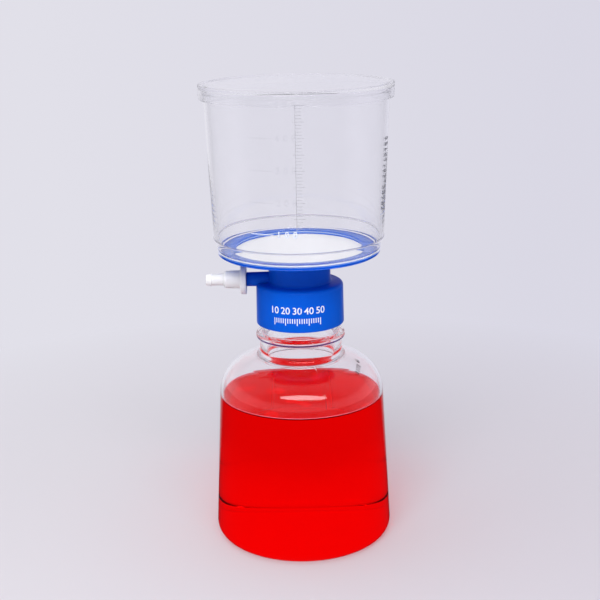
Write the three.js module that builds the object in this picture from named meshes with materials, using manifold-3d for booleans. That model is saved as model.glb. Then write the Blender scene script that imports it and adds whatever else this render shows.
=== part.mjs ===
// Vacuum filtration unit for a biology lab: a clear upper chamber stands on a blue
// filter base, and the base screws on the neck of a clear receiver bottle.
// Millimetres, +Z up. The origin is on the table, under the axis of the bottle.
import * as THREE from 'three';
import { mergeVertices } from 'three/addons/utils/BufferGeometryUtils.js';
import Module from 'manifold-3d';

const wasm = await Module();
wasm.setup();

// ---- driving dimensions ------------------------------------------------------
const GAP = 0.3; // clearance between pieces that touch
const RING_SIDES = 44; // facets round the large turned forms
const TUBE_SIDES = 24; // facets round the side arm and what fits on it

// receiver bottle
const BOTTLE_WALL = 1.5;
const HEEL_RADIUS = 6.5;
const BODY_FOOT_RADIUS = 48.8; // where the heel meets the wall
const BODY_TOP_RADIUS = 44.9; // where the wall meets the shoulder
const SHOULDER_START = 81.9;
const SHOULDER_RADIUS = 20;
const SHOULDER_SWEEP = THREE.MathUtils.degToRad(67);
const STAND_RING_WIDTH = 4.3; // flat ring that the bottle stands on
const PUSH_UP_HEIGHT = 3.4; // hollow under the bottle
const NECK_ROOT_RADIUS = 22.3;
const NECK_ROOT_HEIGHT = 105;
const BEAD_RADIUS = 24.2;
const BEAD_HEIGHT = 115;
const BEAD_HALF_HEIGHT = 1.9;
const NECK_RADIUS = 20.9; // root of the neck's thread
const NECK_BORE = 18.6;
const NECK_TOP = 140.9;
const NECK_LIP_RADIUS = 21; // the neck's thick wall ends in a low lip inside
const NECK_LIP_HEIGHT = 100.8; // the shoulder

// liquid in the receiver
const LIQUID_LEVEL = 80.5;

// filter base: screw collar, neck, side arm and membrane plate, moulded as one
const COLLAR_RADIUS = 23.7;
const COLLAR_BORE = 22.3;
const COLLAR_BOTTOM = 121.8;
const COLLAR_TOP = 143.9;
const COLLAR_EDGE_ROUND = 1.9;
const COLLAR_ROOF = 1.7; // thickness of the collar's roof
const BASE_NECK_RADIUS = 16.7;
const BASE_NECK_WALL = 1.7;
const PLATE_BOTTOM = 158.9;
const PLATE_FLOOR = 159.7; // drained floor between the ribs, at the rim
const RIB_TOP = 160.2;
const RIB_WIDTH = 0.9;
const FLANGE_RADIUS = 42.5;
const FLANGE_BOTTOM = 160.1;
const FLANGE_TOP = 161.7;
const RIM_OUTER_RADIUS = 41.6;
const RIM_INNER_RADIUS = 40.4;
const RIM_TOP = 164;
const DRAIN_RADIUS = 3.2;
const SPOUT_RADIUS = 4.7;
const SPOUT_BOTTOM = 134;

// side arm and tubing adapter, distances measured from the axis along -X
const ARM_HEIGHT = 145.5;
const ARM_RADIUS = 3.8;
const ARM_BORE = 2.5;
const ARM_SHOULDER = 28.5; // where the arm steps down to its spigot
const SPIGOT_RADIUS = 3.2;
const SPIGOT_END = 39.2;
const PLUG_START = 20;
const PLUG_LENGTH = 9;
const DISC_RADIUS = 8.1;
const DISC_THICKNESS = 2.9;
const BARREL_RADIUS = 4.75;
const BARREL_END = 40.6;
const BARB_RADIUS = 3.1;
const BARB_LIP_RADIUS = 3.4;
const ADAPTER_END = 50.3;
const ADAPTER_BORE = 1.7;

// membrane
const MEMBRANE_RADIUS = RIM_INNER_RADIUS - GAP;
const MEMBRANE_THICKNESS = 0.3;

// gasket between the collar's roof and the bottle's rim
const GASKET_INNER_RADIUS = 18.4;
const GASKET_OUTER_RADIUS = 21.6;

// upper chamber
const CHAMBER_WALL = 1.5;
const CHAMBER_FOOT_RADIUS = 43.2; // outside, where it stands on the flange
const CHAMBER_CORNER_RADIUS = 45.2; // outside, at the corner above the foot
const CHAMBER_CORNER_HEIGHT = 169.6;
const CHAMBER_TOP_RADIUS = 48.4;
const CHAMBER_TOP = 247.9;
const CHAMBER_LIP_RADIUS = 49; // thickened lip at the mouth
const CHAMBER_LIP_HEIGHT = 1.4;

// lid
const LID_RADIUS = 50.8;
const LID_SKIRT_WALL = 1.3;
const LID_SKIRT_BOTTOM = 242.3;
const LID_PANEL_THICKNESS = 1.2;
const LID_TOP = 250;
const LID_RIM_WIDTH = 2.4; // raised rim that keeps stacked units apart

// ---- helpers -----------------------------------------------------------------
const point = (radius, height) => new THREE.Vector2(radius, height);

// Points on an arc from one angle to another, in degrees, both ends included.
function arc(centreRadius, centreHeight, size, fromDegrees, toDegrees, steps) {
  return Array.from({ length: steps + 1 }, (_, i) => {
    const angle = THREE.MathUtils.degToRad(THREE.MathUtils.lerp(fromDegrees, toDegrees, i / steps));
    return point(centreRadius + size * Math.cos(angle), centreHeight + size * Math.sin(angle));
  });
}

// Turns an outline of (radius, height) points about the Z axis.
function revolve(outline, sides) {
  const geometry = new THREE.LatheGeometry(outline, sides);
  return geometry.rotateX(Math.PI / 2);
}

// A closed ring outline: the first point again at the end.
const closed = (outline) => [...outline, outline[0].clone()];

function toSolid(geometry) {
  geometry.deleteAttribute('normal');
  geometry.deleteAttribute('uv');
  const merged = mergeVertices(geometry, 1e-4);
  const triangles = [];
  for (let i = 0; i < merged.index.count; i += 3) {
    const corners = [0, 1, 2].map((k) => merged.index.getX(i + k));
    if (new Set(corners).size === 3) triangles.push(...corners);
  }
  const solid = new wasm.Manifold(new wasm.Mesh({
    numProp: 3,
    vertProperties: new Float32Array(merged.attributes.position.array),
    triVerts: new Uint32Array(triangles),
  }));
  return solid;
}

function toGeometry(solid) {
  const mesh = solid.getMesh();
  const geometry = new THREE.BufferGeometry();
  geometry.setAttribute('position', new THREE.BufferAttribute(mesh.vertProperties, 3));
  geometry.setIndex(new THREE.BufferAttribute(mesh.triVerts, 1));
  return geometry;
}

function piece(name, solid, material) {
  const mesh = new THREE.Mesh(toGeometry(solid), material);
  mesh.name = name;
  return mesh;
}

// A form turned about the side arm's axis. Its outline gives (radius, distance
// from the bottle's axis), and it comes out lying along -X at the arm's height.
function revolveOnArm(outline) {
  const geometry = revolve(outline, TUBE_SIDES);
  geometry.rotateY(-Math.PI / 2);
  geometry.translate(0, 0, ARM_HEIGHT);
  return toSolid(geometry);
}

// ---- receiver bottle -----------------------------------------------------------
// Wall of the bottle from heel to neck, drawn inwards by an offset from outside.
function bodyOutline(offset) {
  const shoulderCentre = BODY_TOP_RADIUS - SHOULDER_RADIUS;
  const sweep = THREE.MathUtils.radToDeg(SHOULDER_SWEEP);
  return [
    ...arc(BODY_FOOT_RADIUS - HEEL_RADIUS, HEEL_RADIUS, HEEL_RADIUS - offset, -90, 0, 4),
    ...arc(shoulderCentre, SHOULDER_START, SHOULDER_RADIUS - offset, 0, sweep, 6),
  ];
}

function receiverBottle() {
  const standOuter = BODY_FOOT_RADIUS - HEEL_RADIUS;
  const standInner = standOuter - STAND_RING_WIDTH;
  const outside = [
    point(0, PUSH_UP_HEIGHT),
    point(standInner - 8, PUSH_UP_HEIGHT - 0.6),
    point(standInner - 2, 1.4),
    point(standInner, 0),
    ...bodyOutline(0),
    point(NECK_ROOT_RADIUS + 1.2, NECK_ROOT_HEIGHT - 0.7),
    point(NECK_ROOT_RADIUS, NECK_ROOT_HEIGHT + 0.5),
    point(NECK_ROOT_RADIUS, BEAD_HEIGHT - BEAD_HALF_HEIGHT - 0.6),
    ...arc(BEAD_RADIUS - BEAD_HALF_HEIGHT, BEAD_HEIGHT, BEAD_HALF_HEIGHT, -80, 80, 4),
    point(NECK_RADIUS, BEAD_HEIGHT + BEAD_HALF_HEIGHT + 0.8),
    point(NECK_RADIUS, NECK_TOP - 0.5),
    point(NECK_RADIUS - 0.5, NECK_TOP),
  ];
  const inside = [
    point(0, PUSH_UP_HEIGHT + BOTTLE_WALL),
    point(standInner - 8, PUSH_UP_HEIGHT + BOTTLE_WALL - 0.6),
    point(standInner - 1.4, BOTTLE_WALL + 1.4),
    point(standInner + 0.4, BOTTLE_WALL),
    ...bodyOutline(BOTTLE_WALL),
    point(NECK_LIP_RADIUS + 1.4, NECK_LIP_HEIGHT + 2),
    point(NECK_LIP_RADIUS, NECK_LIP_HEIGHT),
    point(NECK_BORE + 0.5, NECK_LIP_HEIGHT),
    point(NECK_BORE, NECK_LIP_HEIGHT + 1.2),
    point(NECK_BORE, NECK_TOP),
  ];
  return toSolid(revolve([...outside, ...inside.reverse()], RING_SIDES));
}

// ---- liquid ----------------------------------------------------------------------
function filtrate() {
  const offset = BOTTLE_WALL + GAP;
  const standInner = BODY_FOOT_RADIUS - HEEL_RADIUS - STAND_RING_WIDTH;
  const heel = arc(BODY_FOOT_RADIUS - HEEL_RADIUS, HEEL_RADIUS, HEEL_RADIUS - offset, -90, 0, 4);
  const lean = (BODY_FOOT_RADIUS - BODY_TOP_RADIUS) / (SHOULDER_START - HEEL_RADIUS);
  const surfaceRadius = BODY_FOOT_RADIUS - offset - lean * (LIQUID_LEVEL - HEEL_RADIUS);
  return toSolid(revolve([
    point(0, PUSH_UP_HEIGHT + offset),
    point(standInner - 8, PUSH_UP_HEIGHT + offset - 0.6),
    point(standInner - 1.2, offset + 1.4),
    point(standInner + 0.6, offset),
    ...heel,
    point(surfaceRadius, LIQUID_LEVEL),
    point(0, LIQUID_LEVEL),
  ], RING_SIDES));
}

// ---- filter base -------------------------------------------------------------------
// Everything on the base that is turned about the axis: spout, plate, rim, flange,
// neck and collar, as one closed outline.
function baseTurning() {
  const neckInside = BASE_NECK_RADIUS - BASE_NECK_WALL;
  const roofUnder = COLLAR_TOP - COLLAR_ROOF;
  const edge = COLLAR_EDGE_ROUND;
  return toSolid(revolve(closed([
    point(DRAIN_RADIUS, SPOUT_BOTTOM),
    point(SPOUT_RADIUS - 0.7, SPOUT_BOTTOM),
    point(SPOUT_RADIUS, SPOUT_BOTTOM + 6),
    point(SPOUT_RADIUS, PLATE_BOTTOM),
    point(neckInside, PLATE_BOTTOM),
    point(neckInside, roofUnder),
    point(COLLAR_BORE, roofUnder),
    point(COLLAR_BORE, COLLAR_BOTTOM + 0.8),
    point(COLLAR_BORE + 0.4, COLLAR_BOTTOM),
    point(COLLAR_RADIUS - 0.3, COLLAR_BOTTOM),
    point(COLLAR_RADIUS, COLLAR_BOTTOM + 0.3),
    ...arc(COLLAR_RADIUS - 0.3 - edge, COLLAR_TOP - edge, edge, 0, 84, 4),
    point(BASE_NECK_RADIUS + 1.2, COLLAR_TOP + 0.7),
    point(BASE_NECK_RADIUS, COLLAR_TOP + 1.9),
    point(BASE_NECK_RADIUS - 0.2, PLATE_BOTTOM),
    point(RIM_INNER_RADIUS - 0.6, PLATE_BOTTOM),
    point(RIM_INNER_RADIUS + 0.4, FLANGE_BOTTOM),
    point(FLANGE_RADIUS - 0.3, FLANGE_BOTTOM),
    point(FLANGE_RADIUS, FLANGE_BOTTOM + 0.3),
    point(FLANGE_RADIUS, FLANGE_TOP - 0.3),
    point(FLANGE_RADIUS - 0.3, FLANGE_TOP),
    point(RIM_OUTER_RADIUS, FLANGE_TOP),
    point(RIM_OUTER_RADIUS, RIM_TOP - 0.3),
    point(RIM_OUTER_RADIUS - 0.3, RIM_TOP),
    point(RIM_INNER_RADIUS + 0.3, RIM_TOP),
    point(RIM_INNER_RADIUS, RIM_TOP - 0.3),
    point(RIM_INNER_RADIUS, RIB_TOP),
    point(RIM_INNER_RADIUS - 0.9, RIB_TOP),
    point(RIM_INNER_RADIUS - 0.9, PLATE_FLOOR),
    point(DRAIN_RADIUS + 2, PLATE_FLOOR - 0.2),
    point(DRAIN_RADIUS, PLATE_FLOOR - 1),
  ]), RING_SIDES));
}

// One upright rib that runs from an inner radius out to the rim, at an angle.
function radialRib(innerRadius, angle) {
  const length = RIM_INNER_RADIUS - 0.7 - innerRadius;
  const depth = RIB_TOP - PLATE_FLOOR + 0.5;
  const rib = new THREE.BoxGeometry(length, RIB_WIDTH, depth);
  rib.translate(innerRadius + length / 2, 0, RIB_TOP - depth / 2);
  return toSolid(rib.rotateZ(angle));
}

// The ribs hold the membrane off the floor. They stand in tiers, so that the
// spaces between them stay about as wide near the rim as near the drain.
function supportRibs() {
  const tiers = [
    { count: 8, innerRadius: 6.5, turn: 0 },
    { count: 8, innerRadius: 13, turn: 0.5 },
    { count: 16, innerRadius: 23, turn: 0.5 },
  ];
  return tiers.flatMap(({ count, innerRadius, turn }) =>
    Array.from({ length: count }, (_, i) => radialRib(innerRadius, ((i + turn) * 2 * Math.PI) / count)));
}

// Short arcs of wall between the radial ribs, open at each rib's side to drain.
function ringRib(radius) {
  const half = RIB_WIDTH / 2;
  const ring = toSolid(revolve(closed([
    point(radius - half, PLATE_BOTTOM + 0.5),
    point(radius + half, PLATE_BOTTOM + 0.5),
    point(radius + half, RIB_TOP),
    point(radius - half, RIB_TOP),
  ]), RING_SIDES));
  const slots = Array.from({ length: 4 }, (_, i) => {
    const slot = new THREE.BoxGeometry(2 * radius + 4, 2.4, RIB_TOP);
    return toSolid(slot.translate(0, 0, PLATE_FLOOR + RIB_TOP / 2).rotateZ(((i + 0.25) * Math.PI) / 4));
  });
  return slots.reduce((rest, slot) => rest.subtract(slot), ring);
}

function sideArm() {
  return revolveOnArm([
    point(0, BASE_NECK_RADIUS - 1.2),
    point(ARM_RADIUS + 0.2, BASE_NECK_RADIUS - 1.2),
    point(ARM_RADIUS, ARM_SHOULDER - 0.3),
    point(ARM_RADIUS - 0.3, ARM_SHOULDER),
    point(SPIGOT_RADIUS, ARM_SHOULDER),
    point(SPIGOT_RADIUS, SPIGOT_END - 0.6),
    point(SPIGOT_RADIUS - 0.5, SPIGOT_END),
    point(0, SPIGOT_END),
  ]);
}

function armBore() {
  return revolveOnArm([
    point(0, SPOUT_RADIUS + 4),
    point(ARM_BORE, SPOUT_RADIUS + 4),
    point(ARM_BORE, SPIGOT_END + 1),
    point(0, SPIGOT_END + 1),
  ]);
}

// The collar's hollow, kept clear where the arm crosses the collar's roof.
function collarHollow() {
  const roofUnder = COLLAR_TOP - COLLAR_ROOF;
  return toSolid(revolve([
    point(0, COLLAR_BOTTOM - 1),
    point(COLLAR_BORE, COLLAR_BOTTOM - 1),
    point(COLLAR_BORE, roofUnder),
    point(0, roofUnder),
  ], RING_SIDES));
}

function filterBase() {
  const arm = sideArm().subtract(collarHollow());
  const parts = [...supportRibs(), ringRib(18), ringRib(29), arm];
  return parts.reduce((whole, part) => whole.add(part), baseTurning()).subtract(armBore());
}

// ---- small pieces inside -------------------------------------------------------------
function membrane() {
  const bottom = RIB_TOP + GAP;
  return toSolid(revolve([
    point(0, bottom),
    point(MEMBRANE_RADIUS, bottom),
    point(MEMBRANE_RADIUS, bottom + MEMBRANE_THICKNESS),
    point(0, bottom + MEMBRANE_THICKNESS),
  ], RING_SIDES));
}

function neckGasket() {
  const bottom = NECK_TOP + GAP;
  const top = COLLAR_TOP - COLLAR_ROOF - GAP;
  return toSolid(revolve(closed([
    point(GASKET_INNER_RADIUS, bottom),
    point(GASKET_OUTER_RADIUS - GAP, bottom),
    point(GASKET_OUTER_RADIUS - GAP, top),
    point(GASKET_INNER_RADIUS, top),
  ]), RING_SIDES));
}

function ventPlug() {
  const radius = ARM_BORE - GAP;
  const end = PLUG_START + PLUG_LENGTH;
  return revolveOnArm([
    point(0, PLUG_START),
    point(radius - 0.5, PLUG_START),
    point(radius, PLUG_START + 0.7),
    point(radius, end - 0.7),
    point(radius - 0.5, end),
    point(0, end),
  ]);
}

// ---- tubing adapter --------------------------------------------------------------------
// A stepped sleeve: disc against the arm's shoulder, barrel over the spigot, and a
// narrower stem with a lip that grips the vacuum tube.
function tubingAdapter() {
  const start = ARM_SHOULDER + GAP;
  const socket = SPIGOT_RADIUS + GAP;
  return revolveOnArm(closed([
    point(socket, start),
    point(DISC_RADIUS - 0.5, start),
    point(DISC_RADIUS, start + 0.5),
    point(DISC_RADIUS, start + DISC_THICKNESS - 0.5),
    point(DISC_RADIUS - 0.5, start + DISC_THICKNESS),
    point(BARREL_RADIUS + 0.1, start + DISC_THICKNESS),
    point(BARREL_RADIUS - 0.1, BARREL_END - 0.7),
    point(BARREL_RADIUS - 0.8, BARREL_END),
    point(BARB_RADIUS, BARREL_END),
    point(BARB_RADIUS, ADAPTER_END - 3.2),
    point(BARB_LIP_RADIUS, ADAPTER_END - 3),
    point(BARB_RADIUS - 0.3, ADAPTER_END),
    point(ADAPTER_BORE, ADAPTER_END),
    point(ADAPTER_BORE, SPIGOT_END + 1.6),
    point(socket, SPIGOT_END + GAP),
  ]));
}

// ---- upper chamber -----------------------------------------------------------------------
function upperChamber() {
  const foot = FLANGE_TOP + GAP;
  const footInside = RIM_OUTER_RADIUS + GAP;
  const floorTop = RIM_TOP + GAP + 1.2;
  const lipBottom = CHAMBER_TOP - CHAMBER_LIP_HEIGHT;
  return toSolid(revolve(closed([
    point(footInside, foot),
    point(CHAMBER_FOOT_RADIUS - 0.3, foot),
    point(CHAMBER_FOOT_RADIUS, foot + 0.5),
    point(CHAMBER_CORNER_RADIUS - 0.7, CHAMBER_CORNER_HEIGHT - 2),
    point(CHAMBER_CORNER_RADIUS, CHAMBER_CORNER_HEIGHT),
    point(CHAMBER_TOP_RADIUS, lipBottom - 0.6),
    point(CHAMBER_LIP_RADIUS, lipBottom),
    point(CHAMBER_LIP_RADIUS, CHAMBER_TOP - 0.4),
    point(CHAMBER_LIP_RADIUS - 0.4, CHAMBER_TOP),
    point(CHAMBER_TOP_RADIUS - CHAMBER_WALL, CHAMBER_TOP),
    point(CHAMBER_TOP_RADIUS - CHAMBER_WALL, lipBottom),
    point(CHAMBER_CORNER_RADIUS - CHAMBER_WALL, CHAMBER_CORNER_HEIGHT + 1),
    point(CHAMBER_CORNER_RADIUS - CHAMBER_WALL - 0.9, floorTop + 0.6),
    point(RIM_INNER_RADIUS + 1, floorTop),
    point(RIM_INNER_RADIUS, floorTop - 0.5),
    point(RIM_INNER_RADIUS, RIM_TOP + GAP),
    point(footInside, RIM_TOP + GAP),
  ]), RING_SIDES));
}

// ---- lid ------------------------------------------------------------------------------------
function lid() {
  const panelBottom = CHAMBER_TOP + GAP;
  const panelTop = panelBottom + LID_PANEL_THICKNESS;
  const skirtInside = LID_RADIUS - LID_SKIRT_WALL;
  return toSolid(revolve([
    point(0, panelBottom),
    point(skirtInside - 0.3, panelBottom),
    point(skirtInside, panelBottom - 0.3),
    point(skirtInside, LID_SKIRT_BOTTOM + 0.5),
    point(skirtInside + 0.3, LID_SKIRT_BOTTOM),
    point(LID_RADIUS - 0.4, LID_SKIRT_BOTTOM),
    point(LID_RADIUS - 0.2, LID_SKIRT_BOTTOM + 0.3),
    point(LID_RADIUS, LID_TOP - 0.8),
    point(LID_RADIUS - 0.8, LID_TOP),
    point(LID_RADIUS - LID_RIM_WIDTH, LID_TOP),
    point(LID_RADIUS - LID_RIM_WIDTH - 0.6, panelTop),
    point(0, panelTop),
  ], RING_SIDES));
}

// ---- materials ------------------------------------------------------------------------------
function plastic(color, roughness, opacity = 1) {
  return new THREE.MeshStandardMaterial({
    color, roughness, metalness: 0, opacity, transparent: opacity < 1,
  });
}

const CLEAR = plastic(0xe8ecf4, 0.06, 0.3);
const RED_LIQUID = plastic(0xe01010, 0.05, 0.85);
const BLUE = plastic(0x0a46d2, 0.35);
const MILKY = plastic(0xe9e9ef, 0.4, 0.9);
const MEMBRANE_WHITE = plastic(0xf4f4f6, 0.8);
const COTTON = plastic(0xf2f0ea, 1);
const GASKET_WHITE = plastic(0xdcdce0, 0.7);

// ---- assembly -------------------------------------------------------------------------------
const unit = new THREE.Group();
unit.add(
  piece('receiver_bottle', receiverBottle(), CLEAR),
  piece('filtrate', filtrate(), RED_LIQUID),
  piece('filter_base', filterBase(), BLUE),
  piece('neck_gasket', neckGasket(), GASKET_WHITE),
  piece('membrane', membrane(), MEMBRANE_WHITE),
  piece('vent_plug', ventPlug(), COTTON),
  piece('tubing_adapter', tubingAdapter(), MILKY),
  piece('upper_chamber', upperChamber(), CLEAR),
  piece('lid', lid(), CLEAR),
);

export default unit;
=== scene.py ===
"""Looks of the vacuum filtration unit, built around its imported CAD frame.

Lengths in the tables below are millimetres; MM turns them into Blender's metres.
Azimuths are degrees round the bottle's axis: 0 faces -Y, 90 faces +X.
"""

import math

import bmesh
import bpy
import numpy as np
from mathutils import Matrix, Vector


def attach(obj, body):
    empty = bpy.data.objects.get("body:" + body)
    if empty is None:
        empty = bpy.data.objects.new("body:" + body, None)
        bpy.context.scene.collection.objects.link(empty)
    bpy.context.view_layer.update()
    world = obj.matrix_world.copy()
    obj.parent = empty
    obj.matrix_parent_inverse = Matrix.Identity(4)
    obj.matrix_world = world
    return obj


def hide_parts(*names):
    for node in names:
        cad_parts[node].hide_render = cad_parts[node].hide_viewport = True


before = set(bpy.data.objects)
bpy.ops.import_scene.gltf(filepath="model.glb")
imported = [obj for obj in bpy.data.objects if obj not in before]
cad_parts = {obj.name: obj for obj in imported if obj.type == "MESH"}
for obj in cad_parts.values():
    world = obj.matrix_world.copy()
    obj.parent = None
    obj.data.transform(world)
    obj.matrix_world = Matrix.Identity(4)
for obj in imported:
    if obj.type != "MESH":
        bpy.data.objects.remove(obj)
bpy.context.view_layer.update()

MM = 0.001
SIDES = 192  # columns round a large turned form
SHARP_ANGLE = 32  # edges that bend more than this stay sharp

# ---- sizes ---------------------------------------------------------------------------
# As in the CAD source, apart from what was changed for the looks and stays inside the
# CAD's box: the bead, the neck's inner lip, the ring round the membrane, the chamber's
# foot and corner, and the adapter's disc.
GAP = 0.3  # air between two pieces that seat on each other
BOTTLE_WALL = 1.5
HEEL_RADIUS = 6.5
BODY_FOOT_RADIUS = 48.8
BODY_TOP_RADIUS = 44.9
SHOULDER_START = 81.9
SHOULDER_RADIUS = 20
SHOULDER_SWEEP = 67
STAND_RING_WIDTH = 4.3
PUSH_UP = 3.4
NECK_ROOT_RADIUS = 22.3
NECK_ROOT_HEIGHT = 105
BEAD_RADIUS = 24.2
BEAD_HEIGHT = 114.9
BEAD_HALF = 1.25
BEAD_FILLET = 1.24
NECK_RADIUS = 20.9
NECK_BORE = 18.6
NECK_TOP = 140.9
NECK_LIP_RADIUS = 21
NECK_LIP_HEIGHT = 100.8
LIQUID_LEVEL = 80.5
LIQUID_OVERLAP = 0.25  # how far the liquid goes into the wall
STAND_OUTER = BODY_FOOT_RADIUS - HEEL_RADIUS
STAND_INNER = STAND_OUTER - STAND_RING_WIDTH
BODY_LEAN = (BODY_FOOT_RADIUS - BODY_TOP_RADIUS) / (SHOULDER_START - HEEL_RADIUS)

COLLAR_RADIUS = 23.7
COLLAR_BORE = 22.3
COLLAR_BOTTOM = 121.8
COLLAR_TOP = 143.9
COLLAR_ROOF_UNDER = 142.2
COLLAR_TAPER = 0.3
BASE_NECK_RADIUS = 16.7
BASE_NECK_INSIDE = 15.0
PLATE_BOTTOM = 158.9
PLATE_FLOOR = 159.7
RIB_TOP = 160.2
FLANGE_BOTTOM = 160.1
FLANGE_RADIUS = 41.9
RIM_OUTER = 39.9  # the chamber's clear foot goes down outside it, to the flange
RIM_INNER = 39.5
RIM_TOP = 161.3
LAND_INNER = 34.2  # the land and the chamber's foot hold the membrane's edge in to here
LEDGE_HEIGHT = -0.25  # the flange's top, from the chamber's foot
RIB_HALF = 0.45
RIB_TIERS = [(8, 6.5, 0), (8, 13, 0.5), (16, 23, 0.5)]  # count, start radius, turn in steps
RING_RIB_RADII = (18, 29)
DRAIN_RADIUS = 3.2
SPOUT_RADIUS = 4.7
SPOUT_BOTTOM = 134

ARM_HEIGHT = 145.5
ARM_RADIUS = 3.8
ARM_BORE = 2.5
ARM_SHOULDER = 28.5
SPIGOT_RADIUS = 3.2
SPIGOT_END = 39.2

CHAMBER_FOOT = 160.7
CHAMBER_FOOT_RADIUS = 43.2
CHAMBER_CORNER_RADIUS = 45.2
CHAMBER_CORNER_HEIGHT = 169.6
CHAMBER_TOP_RADIUS = 48.4
CHAMBER_TOP = 247.9
CHAMBER_LIP_RADIUS = 49
CHAMBER_WALL = 1.5
CHAMBER_FLOOR = 1.3  # thickness of the clear foot over the land
CORNER_LIP = 0.25

LID_RADIUS = 50.8
LID_SKIRT_BOTTOM = 242.3
LID_PANEL_BOTTOM = 248.2
LID_PANEL_TOP = 249.4
LID_TOP = 250

THREAD_PITCH = 4.0
THREAD_START = 119.0
THREAD_HALF_WIDTH = 1.05
THREAD_FLANK = 0.6
THREAD_RUN_OUT = 0.8
NECK_THREAD_HEIGHT = 1.2
COLLAR_THREAD_HEIGHT = 1.1
PARTING_AZIMUTH = 17

MARK_100_HEIGHT = 179.3
MM_PER_ML = 0.160
MARKS_HEIGHT = 200  # the chamber's graduations are laid out from this height


# ---- mesh helpers --------------------------------------------------------------------
def rounded(outline, closed=False, steps=5):
    """Rounds the corners of (radius, height[, fillet]) points with short curves."""
    n, out = len(outline), []
    for i, p in enumerate(outline):
        here = np.array(p[:2], float)
        size = p[2] if len(p) > 2 else 0
        if size <= 0 or (not closed and i in (0, n - 1)):
            out.append(here)
            continue
        before = np.array(outline[i - 1][:2], float) - here
        after = np.array(outline[(i + 1) % n][:2], float) - here
        lb, la = np.linalg.norm(before), np.linalg.norm(after)
        start = here + before / lb * min(size, lb * 0.49)
        end = here + after / la * min(size, la * 0.49)
        for t in np.linspace(0, 1, steps):
            out.append((1 - t) ** 2 * start + 2 * t * (1 - t) * here + t * t * end)
    return np.array(out)


def arc(centre, size, start, end, steps):
    angles = np.radians(np.linspace(start, end, steps + 1))
    return [(centre[0] + size * math.cos(a), centre[1] + size * math.sin(a)) for a in angles]


def column(low, high, radius, step):
    """Points up a straight wall, close enough together to carry a thread."""
    return [(radius, z) for z in np.linspace(low, high, max(2, round((high - low) / step) + 1))]


def placed(name, data):
    """A new object in the scene."""
    obj = bpy.data.objects.new(name, data)
    bpy.context.scene.collection.objects.link(obj)
    return obj


def from_bmesh(name, bm):
    mesh = bpy.data.meshes.new(name)
    bm.to_mesh(mesh)
    bm.free()
    return placed(name, mesh)


def make_object(name, verts, faces):
    mesh = bpy.data.meshes.new(name)
    mesh.from_pydata([tuple(v) for v in verts], [], faces)
    mesh.validate()
    bm = bmesh.new()
    bm.from_mesh(mesh)
    if bm.calc_volume(signed=True) < 0:
        bmesh.ops.reverse_faces(bm, faces=bm.faces)
    bm.to_mesh(mesh)
    bm.free()
    return placed(name, mesh)


def smooth(obj):
    obj.data.shade_smooth()
    obj.data.set_sharp_from_angle(angle=math.radians(SHARP_ANGLE))
    return obj


def lathe(name, outline, closed=False, sides=SIDES, extra=(), shape=None, along_arm=False):
    """Turns an outline about Z, or about the side arm's axis. shape(azimuth, r, z)
    may move the surface and gives the new r and z."""
    outline = np.asarray(outline, float)
    angles = np.concatenate([np.arange(sides) * 2 * math.pi / sides, np.radians(extra)])
    angles = np.unique(np.round(angles % (2 * math.pi), 6))
    count, rows = len(angles), len(outline)
    r = np.repeat(outline[None, :, 0], count, 0)
    z = np.repeat(outline[None, :, 1], count, 0)
    a = np.repeat(angles[:, None], rows, 1)
    if shape:
        r, z = shape(a, r, z)
    verts, index = [], np.zeros((count, rows), int)
    for j in range(rows):
        if outline[j, 0] < 1e-6:
            index[:, j] = len(verts)
            verts.append((0, 0, float(z[:, j].mean())))
            continue
        for i in range(count):
            index[i, j] = len(verts)
            verts.append((r[i, j] * math.sin(a[i, j]), -r[i, j] * math.cos(a[i, j]), z[i, j]))
    faces = []
    for j in range(rows if closed else rows - 1):
        k = (j + 1) % rows
        for i in range(count):
            m = (i + 1) % count
            quad = [index[i, j], index[m, j], index[m, k], index[i, k]]
            face = [int(v) for n, v in enumerate(quad) if v != quad[n - 1]]
            if len(face) >= 3:
                faces.append(face)
    verts = np.array(verts) * MM
    if along_arm:
        verts = np.stack([-verts[:, 2], verts[:, 1], verts[:, 0] + ARM_HEIGHT * MM], 1)
    return smooth(make_object(name, verts, faces))


def boolean(obj, other, operation):
    modifier = obj.modifiers.new("cut", "BOOLEAN")
    modifier.operation, modifier.object, modifier.solver = operation, other, "MANIFOLD"
    evaluated = obj.evaluated_get(bpy.context.evaluated_depsgraph_get())
    mesh = bpy.data.meshes.new_from_object(evaluated)
    obj.modifiers.clear()
    obj.data = mesh
    bpy.data.objects.remove(other)
    return obj


def box(low, high):
    """A box from two corners, in millimetres."""
    bm = bmesh.new()
    bmesh.ops.create_cube(bm, size=1)
    low, high = Vector(low), Vector(high)
    for v in bm.verts:
        v.co = Vector([(low[i] + high[i]) / 2 + v.co[i] * (high[i] - low[i]) for i in range(3)])
    bmesh.ops.scale(bm, vec=(MM, MM, MM), verts=bm.verts)
    return from_bmesh("box", bm)


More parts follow.
